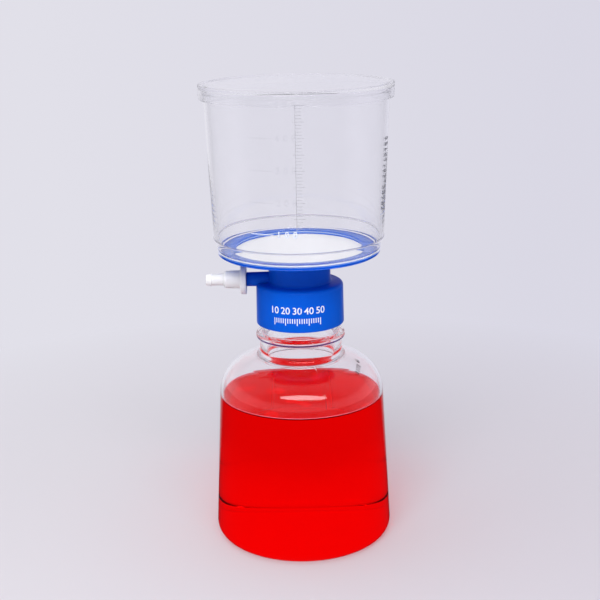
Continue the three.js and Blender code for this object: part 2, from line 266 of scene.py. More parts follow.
# ---- node helpers --------------------------------------------------------------------
class Nodes:
    """A short way to write the node tree of a material or a world."""

    def __init__(self, owner):
        owner.use_nodes = True
        self.owner = owner
        self.tree = owner.node_tree
        self.tree.nodes.clear()

    def add(self, kind, links=None, **settings):
        node = self.tree.nodes.new(kind)
        for key, value in settings.items():
            setattr(node, key, value)
        for key, value in (links or {}).items():
            socket = node.inputs[key]
            if isinstance(value, bpy.types.NodeSocket):
                self.tree.links.new(value, socket)
            else:
                socket.default_value = value
        return node

    def math(self, operation, *values):
        return self.add("ShaderNodeMath", dict(enumerate(values)), operation=operation).outputs[0]

    def mix_shader(self, factor, a, b):
        return self.add("ShaderNodeMixShader", {"Fac": factor, 1: a, 2: b}).outputs[0]

    def path(self, output):
        return self.add("ShaderNodeLightPath").outputs[output]

    def noise(self, scale, detail, rough, stretch=None):
        coord = self.add("ShaderNodeTexCoord").outputs["Object"]
        if stretch:
            coord = self.add("ShaderNodeMapping", {"Vector": coord, "Scale": stretch}).outputs[0]
        return self.add("ShaderNodeTexNoise", {
            "Vector": coord, "Scale": scale, "Detail": detail, "Roughness": rough,
        }).outputs["Fac"]

    def ramp(self, value, low, high, start=0.3, end=0.7):
        return self.add("ShaderNodeMapRange", {
            "Value": value, "From Min": start, "From Max": end, "To Min": low, "To Max": high,
        }).outputs[0]

    def mix(self, factor, a, b):
        node = self.add("ShaderNodeMix", data_type="RGBA")
        self.tree.links.new(factor, node.inputs[0])
        for socket, value in ((node.inputs[6], a), (node.inputs[7], b)):
            if isinstance(value, bpy.types.NodeSocket):
                self.tree.links.new(value, socket)
            else:
                socket.default_value = (*value, 1)
        return node.outputs[2]

    def bump(self, height, strength, distance):
        return self.add("ShaderNodeBump", {
            "Height": height, "Strength": strength, "Distance": distance,
        }).outputs[0]

    def output(self, surface, volume=None):
        links = {"Surface": surface}
        if volume:
            links["Volume"] = volume
        self.add("ShaderNodeOutputMaterial", links)
        return self.owner


def material_nodes(name):
    return Nodes(bpy.data.materials.new(name))


CLEAR_IOR = 1.57
LIQUID_IOR = 1.34
LIQUID_GLEAM = 0.10  # how much of the free surface mirrors as well as bends
LIQUID_DENSITY = 900
MOULDED_IOR = 1.5
MOULDED_ROUGHNESS = 0.33


def clear_for_lamps(nodes, surface, shadow_colour):
    """Lets lamp light straight through, as thin clear plastic does."""
    shadow = nodes.path("Is Shadow Ray")
    clear = nodes.add("ShaderNodeBsdfTransparent", {"Color": (*shadow_colour, 1)}).outputs[0]
    return nodes.mix_shader(shadow, surface, clear)


def clear_plastic(name, tint=(0.985, 0.985, 0.99), ior=CLEAR_IOR, wave=0.12, drawn=0.35):
    """wave is the strength of the flow marks; a smaller drawn makes them taller."""
    n = material_nodes(name)
    haze = n.noise(90, 4, 0.6)
    flow = n.noise(26, 2, 0.4, (1, 1, drawn))
    surface = n.add("ShaderNodeBsdfPrincipled", {
        "Base Color": n.mix(n.ramp(haze, 0, 1), tint, tuple(c * 0.985 for c in tint)),
        "Roughness": n.ramp(haze, 0.01, 0.04),
        "IOR": ior,
        "Transmission Weight": 1.0,
        "Normal": n.bump(flow, wave, 0.0006),
    }).outputs[0]
    return n.output(clear_for_lamps(n, surface, (0.95, 0.95, 0.965)))


def red_liquid():
    """Only the free surface bends light here; the wetted wall does it at the sides."""
    n = material_nodes("red_liquid")
    swirl = n.noise(35, 2, 0.4)
    surface = n.add("ShaderNodeBsdfPrincipled", {
        "Base Color": n.mix(n.ramp(swirl, 0, 1), (1.0, 0.30, 0.32), (0.98, 0.26, 0.27)),
        "Roughness": n.ramp(swirl, 0.0, 0.02),
        "IOR": LIQUID_IOR,
        "Transmission Weight": 1.0,
    }).outputs[0]
    bent = n.add("ShaderNodeBsdfRefraction", {
        "Color": (1.0, 0.27, 0.29, 1), "Roughness": 0.0, "IOR": LIQUID_IOR}).outputs[0]
    surface = n.mix_shader(LIQUID_GLEAM, bent, surface)
    place = n.add("ShaderNodeNewGeometry")
    height = n.add("ShaderNodeSeparateXYZ", {0: place.outputs["Position"]}).outputs[2]
    normal = n.add("ShaderNodeSeparateXYZ", {0: place.outputs["True Normal"]}).outputs[2]
    level = n.math("GREATER_THAN", n.math("ABSOLUTE", normal), 0.15)
    high = n.math("GREATER_THAN", height, (LIQUID_LEVEL - 0.5) * MM)
    free = n.math("MULTIPLY", level, high)
    side = n.add("ShaderNodeBsdfTransparent").outputs[0]
    both = n.mix_shader(free, side, surface)
    volume = n.add("ShaderNodeVolumeAbsorption", {
        "Color": (0.9997, 0.02, 0.03, 1), "Density": LIQUID_DENSITY,
    }).outputs[0]
    return n.output(clear_for_lamps(n, both, (1.0, 0.6, 0.6)), volume)


def moulded(name, colour, deep):
    """Opaque moulded plastic: faint flow marks, uneven gloss, a fine grain."""
    n = material_nodes(name)
    flow = n.noise(55, 4, 0.55, (1, 1, 0.4))
    fine = n.noise(1800, 2, 0.5)
    return n.output(n.add("ShaderNodeBsdfPrincipled", {
        "Base Color": n.mix(n.ramp(flow, 0, 1), colour, deep),
        "Roughness": n.ramp(flow, MOULDED_ROUGHNESS * 0.85, MOULDED_ROUGHNESS * 1.25),
        "IOR": MOULDED_IOR,
        "Specular IOR Level": 0.07,
        "Normal": n.bump(fine, 0.05, 0.0002),
    }).outputs[0])


def milky(name):
    """Soft white plastic that lets a little light into its depth."""
    n = material_nodes(name)
    cloud = n.noise(160, 4, 0.6)
    surface = n.add("ShaderNodeBsdfPrincipled", {
        "Base Color": n.mix(n.ramp(cloud, 0, 1), (0.95, 0.95, 0.96), (0.925, 0.925, 0.94)),
        "Roughness": n.ramp(cloud, 0.28, 0.42),
        "IOR": MOULDED_IOR,
        "Transmission Weight": 0.04,
        "Subsurface Weight": 0.5,
        "Subsurface Scale": 0.003,
        "Subsurface Radius": (1.0, 1.0, 1.0),
        "Normal": n.bump(cloud, 0.1, 0.0002),
    }).outputs[0]
    return n.output(surface)


def porous(name, colour, deep, scale, depth):
    """Matte, fibrous white: membrane, cotton or gasket foam."""
    n = material_nodes(name)
    fibre = n.noise(scale, 6, 0.7)
    return n.output(n.add("ShaderNodeBsdfPrincipled", {
        "Base Color": n.mix(n.ramp(fibre, 0, 1), colour, deep),
        "Roughness": n.ramp(fibre, 0.75, 0.95),
        "Specular IOR Level": 0.3,
        "Normal": n.bump(fibre, 0.3, depth),
    }).outputs[0])


def ink(name, colour, deep):
    """Flat colour with slight wear."""
    n = material_nodes(name)
    worn = n.noise(1500, 3, 0.6)
    return n.output(n.add("ShaderNodeBsdfPrincipled", {
        "Base Color": n.mix(n.ramp(worn, 0, 1), colour, deep),
        "Roughness": n.ramp(worn, 0.4, 0.6),
        "Normal": n.bump(worn, 0.1, 0.00005),
    }).outputs[0])


def finish_piece(obj, material, body, slot, *nodes):
    obj.data.materials.clear()
    obj.data.materials.append(material)
    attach(obj, body)
    if nodes:
        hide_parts(*nodes)
    return obj


# ---- camera --------------------------------------------------------------------------
CAMERA_PLACE = (0, -0.6114, 0.3063)  # metres
CAMERA_PITCH = 15.80  # degrees down
CAMERA_ROLL = -1.04
CAMERA_LENS = 70.44
CAMERA_SENSOR = 36


def make_camera():
    data = bpy.data.cameras.new("camera")
    data.sensor_width, data.lens = CAMERA_SENSOR, CAMERA_LENS
    data.clip_start, data.clip_end = 0.01, 100
    camera = placed("camera", data)
    pitch, roll = math.radians(CAMERA_PITCH), math.radians(CAMERA_ROLL)
    right, up = Vector((1, 0, 0)), Vector((0, math.sin(pitch), math.cos(pitch)))
    ahead = Vector((0, math.cos(pitch), -math.sin(pitch)))
    x = right * math.cos(roll) + up * math.sin(roll)
    y = up * math.cos(roll) - right * math.sin(roll)
    camera.matrix_world = Matrix((
        (x.x, y.x, -ahead.x, CAMERA_PLACE[0]),
        (x.y, y.y, -ahead.y, CAMERA_PLACE[1]),
        (x.z, y.z, -ahead.z, CAMERA_PLACE[2]),
        (0, 0, 0, 1),
    ))
    bpy.context.scene.camera = camera


# ---- thread --------------------------------------------------------------------------
def thread_height(azimuth, z, first, last, offset):
    """0 to 1 across a helical ridge of one start, with run-outs at its two ends."""
    turn = (z - offset) / THREAD_PITCH - azimuth / (2 * math.pi)
    ridge = np.round(turn)
    middle = offset + THREAD_PITCH * (ridge + azimuth / (2 * math.pi))
    across = np.abs(z - middle)
    height = np.clip((THREAD_HALF_WIDTH - across) / THREAD_FLANK, 0, 1)
    fade_in = np.clip((middle - first) / THREAD_RUN_OUT, 0, 1)
    fade_out = np.clip((last - middle) / THREAD_RUN_OUT, 0, 1)
    return height * (fade_in * fade_out)


# ---- receiver bottle -----------------------------------------------------------------
def heel_outline(offset):
    return arc((STAND_OUTER, HEEL_RADIUS), HEEL_RADIUS - offset, -90, 0, 12)


def body_outline(offset):
    """Heel, straight side and shoulder, that far inside the bottle's outer surface."""
    shoulder = (BODY_TOP_RADIUS - SHOULDER_RADIUS, SHOULDER_START)
    return [*heel_outline(offset),
            *arc(shoulder, SHOULDER_RADIUS - offset, 0, SHOULDER_SWEEP, 26)]


def floor_outline(offset):
    """The bottle's floor, that far above its underside, over the push-up and the ring."""
    return rounded([(0, PUSH_UP + offset), (STAND_INNER - 8, PUSH_UP + offset - 0.6, 4),
                    (STAND_INNER - 1.4, offset + 1.4, 1.5), (STAND_INNER + 0.4, offset, 1),
                    (STAND_OUTER, offset)], steps=7)[:-1]


def receiver_bottle():
    """The bottle, the row where its inside starts, and how many rows its outline has."""
    outside = [
        *rounded([(0, PUSH_UP), (STAND_INNER - 8, PUSH_UP - 0.6, 4), (STAND_INNER - 2, 1.4, 1.5),
                  (STAND_INNER, 0, 1), (STAND_OUTER, 0)], steps=7)[:-1],
        *body_outline(0),
        *rounded([(33.0, 100.2), (NECK_ROOT_RADIUS + 1.6, NECK_ROOT_HEIGHT - 1.1, 2.5),
                  (NECK_ROOT_RADIUS, NECK_ROOT_HEIGHT + 1.4, 2.5),
                  (NECK_ROOT_RADIUS, BEAD_HEIGHT - BEAD_HALF - 0.6, 0.8)], steps=8)[1:-1],
        *rounded([(NECK_ROOT_RADIUS, NECK_ROOT_HEIGHT + 3),
                  (NECK_ROOT_RADIUS, BEAD_HEIGHT - BEAD_HALF, 0.9),
                  (BEAD_RADIUS, BEAD_HEIGHT - BEAD_HALF, BEAD_FILLET),
                  (BEAD_RADIUS, BEAD_HEIGHT + BEAD_HALF, BEAD_FILLET),
                  (NECK_RADIUS, BEAD_HEIGHT + BEAD_HALF + 0.4, 0.8),
                  (NECK_RADIUS, BEAD_HEIGHT + BEAD_HALF + 2)], steps=7)[1:-1],
        *column(BEAD_HEIGHT + BEAD_HALF + 1.4, NECK_TOP - 1, NECK_RADIUS, 0.3),
        *rounded([(NECK_RADIUS, NECK_TOP - 1), (NECK_RADIUS, NECK_TOP, 0.6),
                  (NECK_RADIUS - 1, NECK_TOP)])[1:-1],
    ]
    inside = [
        *floor_outline(BOTTLE_WALL),
        *body_outline(BOTTLE_WALL),
        *rounded([(32.5, 98.73), (NECK_LIP_RADIUS + 1.3, NECK_LIP_HEIGHT + 2.1, 1.0),
                  (NECK_LIP_RADIUS, NECK_LIP_HEIGHT - 0.6, 1.2),
                  (NECK_BORE + 0.4, NECK_LIP_HEIGHT - 0.8, 0.8),
                  (NECK_BORE, NECK_LIP_HEIGHT + 1.4, 0.8), (NECK_BORE, NECK_TOP, 0.4),
                  (NECK_BORE + 1, NECK_TOP)], steps=8)[1:-1],
    ]

    def shape(a, r, z):
        """Adds the mould's parting line and the thread."""
        side = (a - math.radians(PARTING_AZIMUTH) + math.pi / 2) % math.pi - math.pi / 2
        off_line = r * np.sin(side)
        seam = np.exp(-((off_line / 0.32) ** 2))
        outer = np.zeros_like(r, bool)
        outer[:, :len(outside)] = True
        rise = np.clip((z - SHOULDER_START - 2) / 4, 0, 1)
        r = r + np.where(outer & (z < BEAD_HEIGHT - 3), 0.12 * seam * rise, 0)
        base = (z < 6) & (r < 15)
        z = z + np.where(base, np.where(outer, -0.4, 0.7) * seam, 0)
        grown = NECK_THREAD_HEIGHT * thread_height(a, z, 121.0, 138.5, THREAD_START)
        threaded = outer & (z > BEAD_HEIGHT + 3.2) & (z < NECK_TOP - 1.2)
        return r + np.where(threaded, grown, 0), z

    near = np.array([-1.6, -0.8, -0.45, -0.2, 0, 0.2, 0.45, 0.8, 1.6])
    extra = np.concatenate([PARTING_AZIMUTH + near, PARTING_AZIMUTH + 180 + near])
    bottle = lathe("receiver_bottle_wall", outside + inside[::-1], extra=extra, shape=shape)
    return bottle, len(outside), len(outside) + len(inside)


def zone_materials(bottle, first_row, rows, inner, outer, underside, bead):
    """Where liquid touches the wall, light passes from plastic into liquid, not air. The bead's
    lower outer half gets a dark violet tint, a painted reflection of the blue above it and the red
    below it."""
    for material in (inner, outer, underside, bead):
        bottle.data.materials.append(material)
    columns = len(bottle.data.polygons) // (rows - 1)
    foot = (STAND_OUTER + 2.7) * MM
    for number, face in enumerate(bottle.data.polygons):
        z, r = face.center.z, face.center.xy.length
        below_middle = BEAD_HEIGHT * MM - z
        if z < (LIQUID_LEVEL + 0.9) * MM:
            is_inside = number // columns >= first_row
            is_under = z < (PUSH_UP + 0.2) * MM and r < foot
            face.material_index = 1 if is_inside else 3 if is_under else 2
        # painted reflection: the bead's lower outer half takes the dark violet tint
        elif 0 < below_middle < BEAD_HALF * MM and r > (NECK_ROOT_RADIUS + 0.3) * MM:
            face.material_index = 4


def filtrate():
    """The liquid overlaps the wall slightly, so that no air shows between them."""
    offset = BOTTLE_WALL - LIQUID_OVERLAP
    edge = BODY_FOOT_RADIUS - offset - BODY_LEAN * (LIQUID_LEVEL - HEEL_RADIUS)
    climb = ((0, 1.1), (0.35, 1.0), (0.7, 0.55), (1.2, 0.22), (2.2, 0.03), (3.6, 0))
    outline = [*floor_outline(offset), *heel_outline(offset),
               *[(edge - inwards, LIQUID_LEVEL + up) for inwards, up in climb], (0, LIQUID_LEVEL)]
    return lathe("filtrate_body", outline)


def meniscus():
    """An opaque pink ring where the liquid climbs the wall: a painted highlight for the thin
    bright line there.
    """
    low, high = LIQUID_LEVEL + 1.0, LIQUID_LEVEL + 1.4
    wall = BODY_FOOT_RADIUS - BOTTLE_WALL - 0.04 - BODY_LEAN * (high - HEEL_RADIUS)
    outline = rounded([(wall - 0.45, low, 0.1), (wall, low, 0.1), (wall, high, 0.1),
                       (wall - 0.2, high, 0.1)], closed=True, steps=4)
    return lathe("filtrate_meniscus", outline, closed=True)


# ---- filter base ---------------------------------------------------------------------
def base_turning():
    outline = rounded([
        (DRAIN_RADIUS, SPOUT_BOTTOM, 0.3), (SPOUT_RADIUS - 0.7, SPOUT_BOTTOM, 0.3),
        (SPOUT_RADIUS, SPOUT_BOTTOM + 6, 1), (SPOUT_RADIUS, PLATE_BOTTOM, 0.8),
        (BASE_NECK_INSIDE, PLATE_BOTTOM, 0.8), (BASE_NECK_INSIDE, COLLAR_ROOF_UNDER, 0.4),
        (COLLAR_BORE, COLLAR_ROOF_UNDER, 0.5),
        *[(COLLAR_BORE, z) for z in np.arange(141, 123, -0.3)],
        (COLLAR_BORE, COLLAR_BOTTOM + 0.8, 0.3), (COLLAR_BORE + 0.4, COLLAR_BOTTOM, 0.2),
        (COLLAR_RADIUS, COLLAR_BOTTOM, 0.45), (COLLAR_RADIUS - COLLAR_TAPER, COLLAR_TOP, 2.2),
        (BASE_NECK_RADIUS, COLLAR_TOP + 0.3, 1.4), (BASE_NECK_RADIUS - 0.2, PLATE_BOTTOM, 0.9),
        (RIM_INNER - 1.6, PLATE_BOTTOM, 0.6), (RIM_INNER - 0.6, FLANGE_BOTTOM, 0.5),
        (FLANGE_RADIUS, FLANGE_BOTTOM, 0.15), (FLANGE_RADIUS, CHAMBER_FOOT + LEDGE_HEIGHT, 0.15),
        (RIM_OUTER, CHAMBER_FOOT + LEDGE_HEIGHT, 0.1), (RIM_OUTER, RIM_TOP, 0.3),
        (LAND_INNER, RIM_TOP, 0.1), (LAND_INNER, RIB_TOP + 0.7, 0.1),
        (RIM_INNER, RIB_TOP + 0.7, 0.1), (RIM_INNER, RIB_TOP, 0.15),
        (RIM_INNER - 0.9, RIB_TOP, 0.15),
        (RIM_INNER - 0.9, PLATE_FLOOR, 0.2), (DRAIN_RADIUS + 2, PLATE_FLOOR - 0.2, 0.3),
        (DRAIN_RADIUS, PLATE_FLOOR - 1, 0.4),
    ], closed=True, steps=5)

    def shape(a, r, z):
        """Adds the thread, half a pitch off the neck's, and a parting line on the collar."""
        bore = (np.abs(r - COLLAR_BORE) < 0.01) & (z > 123) & (z < 141.2)
        ridge = thread_height(a, z, 123.6, 139.6, THREAD_START + THREAD_PITCH / 2)
        r = r - np.where(bore, COLLAR_THREAD_HEIGHT * ridge, 0)
        side = (a + math.pi) % (2 * math.pi) - math.pi
        seam = np.exp(-((r * side / 0.3) ** 2)) * (np.abs(side) < 0.1)
        skin = (r > COLLAR_RADIUS - 0.6) & (z < COLLAR_TOP - 2) & (z > COLLAR_BOTTOM + 0.5)
        return r + np.where(skin, 0.06 * seam, 0), z

    near = [-1.2, -0.7, -0.35, 0, 0.35, 0.7, 1.2]
    return lathe("filter_base_moulding", outline, closed=True, extra=near, shape=shape)


def radial_rib(inner, angle):
    rib = box((inner, -RIB_HALF, PLATE_FLOOR - 0.5), (RIM_INNER - 0.7, RIB_HALF, RIB_TOP))
    rib.data.transform(Matrix.Rotation(angle, 4, "Z"))
    return rib


def ring_rib(radius):
    ring = lathe("ring_rib", rounded([
        (radius - RIB_HALF, PLATE_BOTTOM + 0.5), (radius + RIB_HALF, PLATE_BOTTOM + 0.5),
        (radius + RIB_HALF, RIB_TOP, 0.15), (radius - RIB_HALF, RIB_TOP, 0.15)], closed=True),
        closed=True, sides=96)
    for i in range(4):
        slot = box((-radius - 2, -1.2, PLATE_FLOOR), (radius + 2, 1.2, RIB_TOP + 1))
        slot.data.transform(Matrix.Rotation((i + 0.25) * math.pi / 4, 4, "Z"))
        boolean(ring, slot, "DIFFERENCE")
    return ring


def side_arm():
    arm = lathe("side_arm", rounded([
        (0, BASE_NECK_RADIUS - 1.2), (ARM_RADIUS + 0.2, BASE_NECK_RADIUS - 1.2),
        (ARM_RADIUS, ARM_SHOULDER, 0.4), (SPIGOT_RADIUS, ARM_SHOULDER, 0.2),
        (SPIGOT_RADIUS, SPIGOT_END - 0.5, 0.4), (SPIGOT_RADIUS - 0.5, SPIGOT_END, 0.3),
        (0, SPIGOT_END)]), sides=64, along_arm=True)
    hollow = lathe("hollow", [(0, COLLAR_BOTTOM - 1), (COLLAR_BORE, COLLAR_BOTTOM - 1),
                              (COLLAR_BORE, COLLAR_ROOF_UNDER), (0, COLLAR_ROOF_UNDER)])
    return boolean(arm, hollow, "DIFFERENCE")


def filter_base():
    base = base_turning()
    ribs = [radial_rib(inner, (i + turn) * 2 * math.pi / count)
            for count, inner, turn in RIB_TIERS for i in range(count)]
    for part in [*ribs, *[ring_rib(radius) for radius in RING_RIB_RADII], side_arm()]:
        boolean(base, part, "UNION")
    bore = lathe("bore", [(0, SPOUT_RADIUS + 4), (ARM_BORE, SPOUT_RADIUS + 4),
                          (ARM_BORE, SPIGOT_END + 1), (0, SPIGOT_END + 1)],
                 sides=48, along_arm=True)
    return smooth(boolean(base, bore, "DIFFERENCE"))


def paint_faces(piece, material, belongs):
    """Another material for the faces whose radius and height, in millimetres, belong."""
    piece.data.materials.append(material)
    for face in piece.data.polygons:
        if belongs(face.center.xy.length / MM, face.center.z / MM):
            face.material_index = len(piece.data.materials) - 1


# ---- small pieces --------------------------------------------------------------------
def membrane():
    low, edge = RIB_TOP + GAP, RIM_INNER - GAP
    rows = np.linspace(0, edge - 0.2, 40)
    top = [(r, low + 0.3) for r in rows]
    outline = [(0, low), (edge - 0.1, low), (edge, low + 0.1), (edge, low + 0.2), *top[::-1]]

    def shape(a, r, z):
        """The top dips between the outer ribs, and sags a little in the middle."""
        upper = z > low + 0.25
        dip = np.maximum(0, np.cos(16 * a)) ** 6 * np.clip((r - 20) / 18, 0, 1)
        return r, z - np.where(upper, 0.035 * dip + 0.05 * (1 - (r / edge) ** 2), 0)

    return lathe("membrane_disc", outline, shape=shape)


def neck_gasket():
    low, high = NECK_TOP + GAP, COLLAR_ROOF_UNDER - GAP
    return lathe("neck_gasket_ring", rounded([
        (18.4, low, 0.2), (21.3, low, 0.2), (21.3, high, 0.2), (18.4, high, 0.2)],
        closed=True), closed=True)


def vent_plug():
    end, radius = 29, ARM_BORE - GAP
    outline = rounded([(0, 20), (radius - 0.2, 20, 0.6), (radius, 20.8, 0.4),
                       (radius, end - 0.8, 0.4), (radius - 0.2, end, 0.6), (0, end)])
    return lathe("vent_plug_cotton", outline, sides=48, along_arm=True)


def tubing_adapter():
    start, socket = ARM_SHOULDER + GAP, SPIGOT_RADIUS + GAP
    outline = rounded([
        (socket, start - 0.2, 0.2), (8.1, start - 0.2, 0.6), (8.1, start + 2.9, 0.6),
        (4.9, start + 2.9, 0.5), (4.65, 40.0, 0.6), (3.95, 40.6, 0.5), (3.15, 41.0, 0.4),
        (3.05, 47.1, 0.2), (3.4, 47.4, 0.2), (2.85, 50.3, 0.4), (1.7, 50.3, 0.2),
        (1.7, 40.8, 0.2), (socket, 39.5, 0.2),
    ], closed=True)
    return lathe("tubing_adapter_sleeve", outline, closed=True, sides=96, along_arm=True)


# ---- upper chamber and lid -----------------------------------------------------------
def chamber_radius(z):
    """Outside radius of the chamber's wall at a height."""
    share = (z - CHAMBER_CORNER_HEIGHT) / (CHAMBER_TOP - 2 - CHAMBER_CORNER_HEIGHT)
    return CHAMBER_CORNER_RADIUS + share * (CHAMBER_TOP_RADIUS - CHAMBER_CORNER_RADIUS)


def upper_chamber():
    foot, inside = CHAMBER_FOOT, RIM_OUTER + GAP
    floor = RIM_TOP + GAP + CHAMBER_FLOOR
    lip = CHAMBER_TOP - 1.4
    outline = rounded([
        (inside, foot, 0.2), (CHAMBER_FOOT_RADIUS, foot, 0.5),
        (CHAMBER_FOOT_RADIUS + 0.15, foot + 3.4, 0.9),
        (CHAMBER_CORNER_RADIUS - 0.8, CHAMBER_CORNER_HEIGHT - 0.7, 0.3),
        (CHAMBER_CORNER_RADIUS, CHAMBER_CORNER_HEIGHT - 0.35, 0.1),
        (CHAMBER_CORNER_RADIUS + CORNER_LIP, CHAMBER_CORNER_HEIGHT - 0.3, 0.1),
        (CHAMBER_CORNER_RADIUS + CORNER_LIP, CHAMBER_CORNER_HEIGHT + 0.2, 0.1),
        (CHAMBER_CORNER_RADIUS + 0.03, CHAMBER_CORNER_HEIGHT + 0.25, 0.1),
        (CHAMBER_TOP_RADIUS, lip - 0.6, 0.4), (CHAMBER_LIP_RADIUS, lip, 0.3),
        (CHAMBER_LIP_RADIUS, CHAMBER_TOP, 0.4),
        (CHAMBER_TOP_RADIUS - CHAMBER_WALL, CHAMBER_TOP, 0.4),
        (CHAMBER_TOP_RADIUS - CHAMBER_WALL, lip, 0.6),
        (CHAMBER_CORNER_RADIUS - CHAMBER_WALL, CHAMBER_CORNER_HEIGHT + 1.2, 1.2),
        (CHAMBER_CORNER_RADIUS - CHAMBER_WALL - 0.9, floor + 0.3, 1.0),
        (LAND_INNER + 0.2, floor, 0.6), (LAND_INNER, floor - 0.6, 0.3),
        (LAND_INNER, RIM_TOP + GAP, 0.2), (inside, RIM_TOP + GAP, 0.15),
    ], closed=True, steps=6)
    return lathe("upper_chamber_wall", outline, closed=True)


def lid():
    inside = LID_RADIUS - 1.3
    outline = rounded([
        (0, LID_PANEL_BOTTOM), (inside, LID_PANEL_BOTTOM, 0.7),
        (inside, LID_SKIRT_BOTTOM + 0.5, 0.3), (inside + 0.3, LID_SKIRT_BOTTOM, 0.2),
        (LID_RADIUS - 0.3, LID_SKIRT_BOTTOM, 0.4),
        (LID_RADIUS, LID_TOP, 0.8), (LID_RADIUS - 2.4, LID_TOP, 0.4),
        (LID_RADIUS - 3.0, LID_PANEL_TOP, 0.4), (2.2, LID_PANEL_TOP, 0.5),
        (1.6, LID_PANEL_TOP - 0.08, 0.4), (0, LID_PANEL_TOP - 0.05)], steps=6)
    return lathe("lid_cap", outline)


# ---- marks ---------------------------------------------------------------------------
def wrapped(name, solids, azimuth, height, radius_at, sunk=0.03):
    """Wraps flat solids (across, up, out), in millimetres, round the unit's axis."""
    verts, faces = [], []
    for points, polygons in solids:
        base = len(verts)
        for u, v, w in points:
            z = height + v
            radius = radius_at(z)
            angle = math.radians(azimuth) + u / radius
            radius += w - sunk
            verts.append((radius * math.sin(angle) * MM, -radius * math.cos(angle) * MM, z * MM))
        faces += [[base + i for i in p] for p in polygons]
    return make_object(name, verts, faces)


def bar(left, right, low, high, thick):
    """A flat bar, cut across its length so that it can bend round a wall."""
    cuts = max(1, round((right - left) / 1.5))
    points, faces = [], []
    for u in np.linspace(left, right, cuts + 1):
        points += [(u, low, 0), (u, high, 0), (u, high, thick), (u, low, thick)]
    for i in range(cuts):
        for k in range(4):
            m = (k + 1) % 4
            faces.append([4 * i + k, 4 * i + m, 4 * i + 4 + m, 4 * i + 4 + k])
    faces += [[0, 3, 2, 1], [4 * cuts + k for k in range(4)]]
    return points, faces


def digits(text, size, across, up, thick, weight):
    """Upright numerals as flat solids, centred on (across, up)."""
    curve = bpy.data.curves.new("digits", "FONT")
    curve.body, curve.size, curve.extrude = text, size, thick / 2
    curve.align_x, curve.align_y, curve.offset = "CENTER", "CENTER", weight
    holder = placed("digits", curve)
    mesh = bpy.data.meshes.new_from_object(
        holder.evaluated_get(bpy.context.evaluated_depsgraph_get()))
    points = [(v.co.x + across, v.co.y + up, v.co.z + thick / 2) for v in mesh.vertices]
    faces = [list(p.vertices) for p in mesh.polygons]
    bpy.data.objects.remove(holder)
    return points, faces


def volume_height(millilitres):
    """Height of a graduation above the table."""
    return MARK_100_HEIGHT + (millilitres - 100) * MM_PER_ML


def mark_place(millilitres):
    """Height of a graduation in the flat layout of the chamber's marks."""
    return volume_height(millilitres) - MARKS_HEIGHT


def chamber_scale():
    """One upright line with a tick each 10 mL."""
    thick = 0.06
    solids = [bar(-1.05, -0.75, mark_place(115), mark_place(500), thick)]
    for ml in range(120, 501, 10):
        v = mark_place(ml)
        left, right = (-2.2, 3.4) if ml % 50 == 0 else (-0.75, 2.2)
        solids.append(bar(left, right, v - 0.1, v + 0.1, thick))
    return wrapped("chamber_scale", solids, 0, MARKS_HEIGHT, chamber_radius)


def chamber_numbers(name, volumes, size, thick):
    """The numbers each 100 mL, with a long line to the left of each."""
    solids, r = [], chamber_radius(MARKS_HEIGHT)
    left, right = math.radians(-31) * r, math.radians(-15.5) * r
    for ml in volumes:
        v = mark_place(ml)
        solids.append(bar(left, right, v - 0.2, v + 0.2, thick))
        for place, digit in enumerate(str(ml)):
            across = (place - 1) * 4.1 + math.radians(-7.2) * r
            solids.append(digits(digit, size, across, v, thick, 0.12))
    return wrapped(name, solids, 0, MARKS_HEIGHT, chamber_radius)


def turned_quarter(solids):
    """Turns flat solids so that they read upwards."""
    return [([(-v, u, w) for u, v, w in points], faces) for points, faces in solids]


def chamber_print():
    """Two rows of plain numerals that read upwards."""
    azimuth, foot, size, step = 73, 184, 4.2, 2.8
    solids = [digits(char, size, step / 2 + step * place, shift, 0.08, 0.04)
              for text, shift in (("01234567 90123", -3.9), ("98765 43210987", 0))
              for place, char in enumerate(text) if char != " "]
    return wrapped("chamber_print", turned_quarter(solids), azimuth, foot, chamber_radius)


def bottle_print():
    """Numerals that lie along the curve of the shoulder, and climb it a little."""
    verts, faces = [], []
    start, slope = math.radians(53), 51
    bend_radius = 36  # of the shoulder, level with the print
    for place, char in enumerate("3172 41"):
        points, polygons = digits(char, 3.4, 1.2 + 2.3 * place, 0.9, 0.1, 0.1)
        base = len(verts)
        for u, v, w in points:
            angle = math.radians(slope + 1.2 * u) + v / SHOULDER_RADIUS
            reach = SHOULDER_RADIUS + w
            r = BODY_TOP_RADIUS - SHOULDER_RADIUS + reach * math.cos(angle)
            z = SHOULDER_START + reach * math.sin(angle)
            turn = start + u / bend_radius
            verts.append((r * math.sin(turn) * MM, -r * math.cos(turn) * MM, z * MM))
        faces += [[base + i for i in p] for p in polygons]
    return make_object("bottle_print", verts, faces)


def collar_radius(z):
    """Outside radius of the collar at a height."""
    return COLLAR_RADIUS - COLLAR_TAPER * (z - COLLAR_BOTTOM) / (COLLAR_TOP - COLLAR_BOTTOM)


def collar_print():
    """Plain numbers over a row of ticks, as on a dial."""
    azimuth, height, thick = -4, 128.2, 0.04
    solids = [digits(str(n), 5.2, (i - 2) * 6.3, 5.4, thick, 0.05)
              for i, n in enumerate(range(10, 60, 10))]
    for i in range(21):
        tall = i % 5 == 0
        u = (i - 10) * 1.26
        solids.append(bar(u - 0.24, u + 0.24, -2.4 if tall else -1.2, 1.4, thick))
    return wrapped("collar_print", solids, azimuth, height, collar_radius, 0.01)


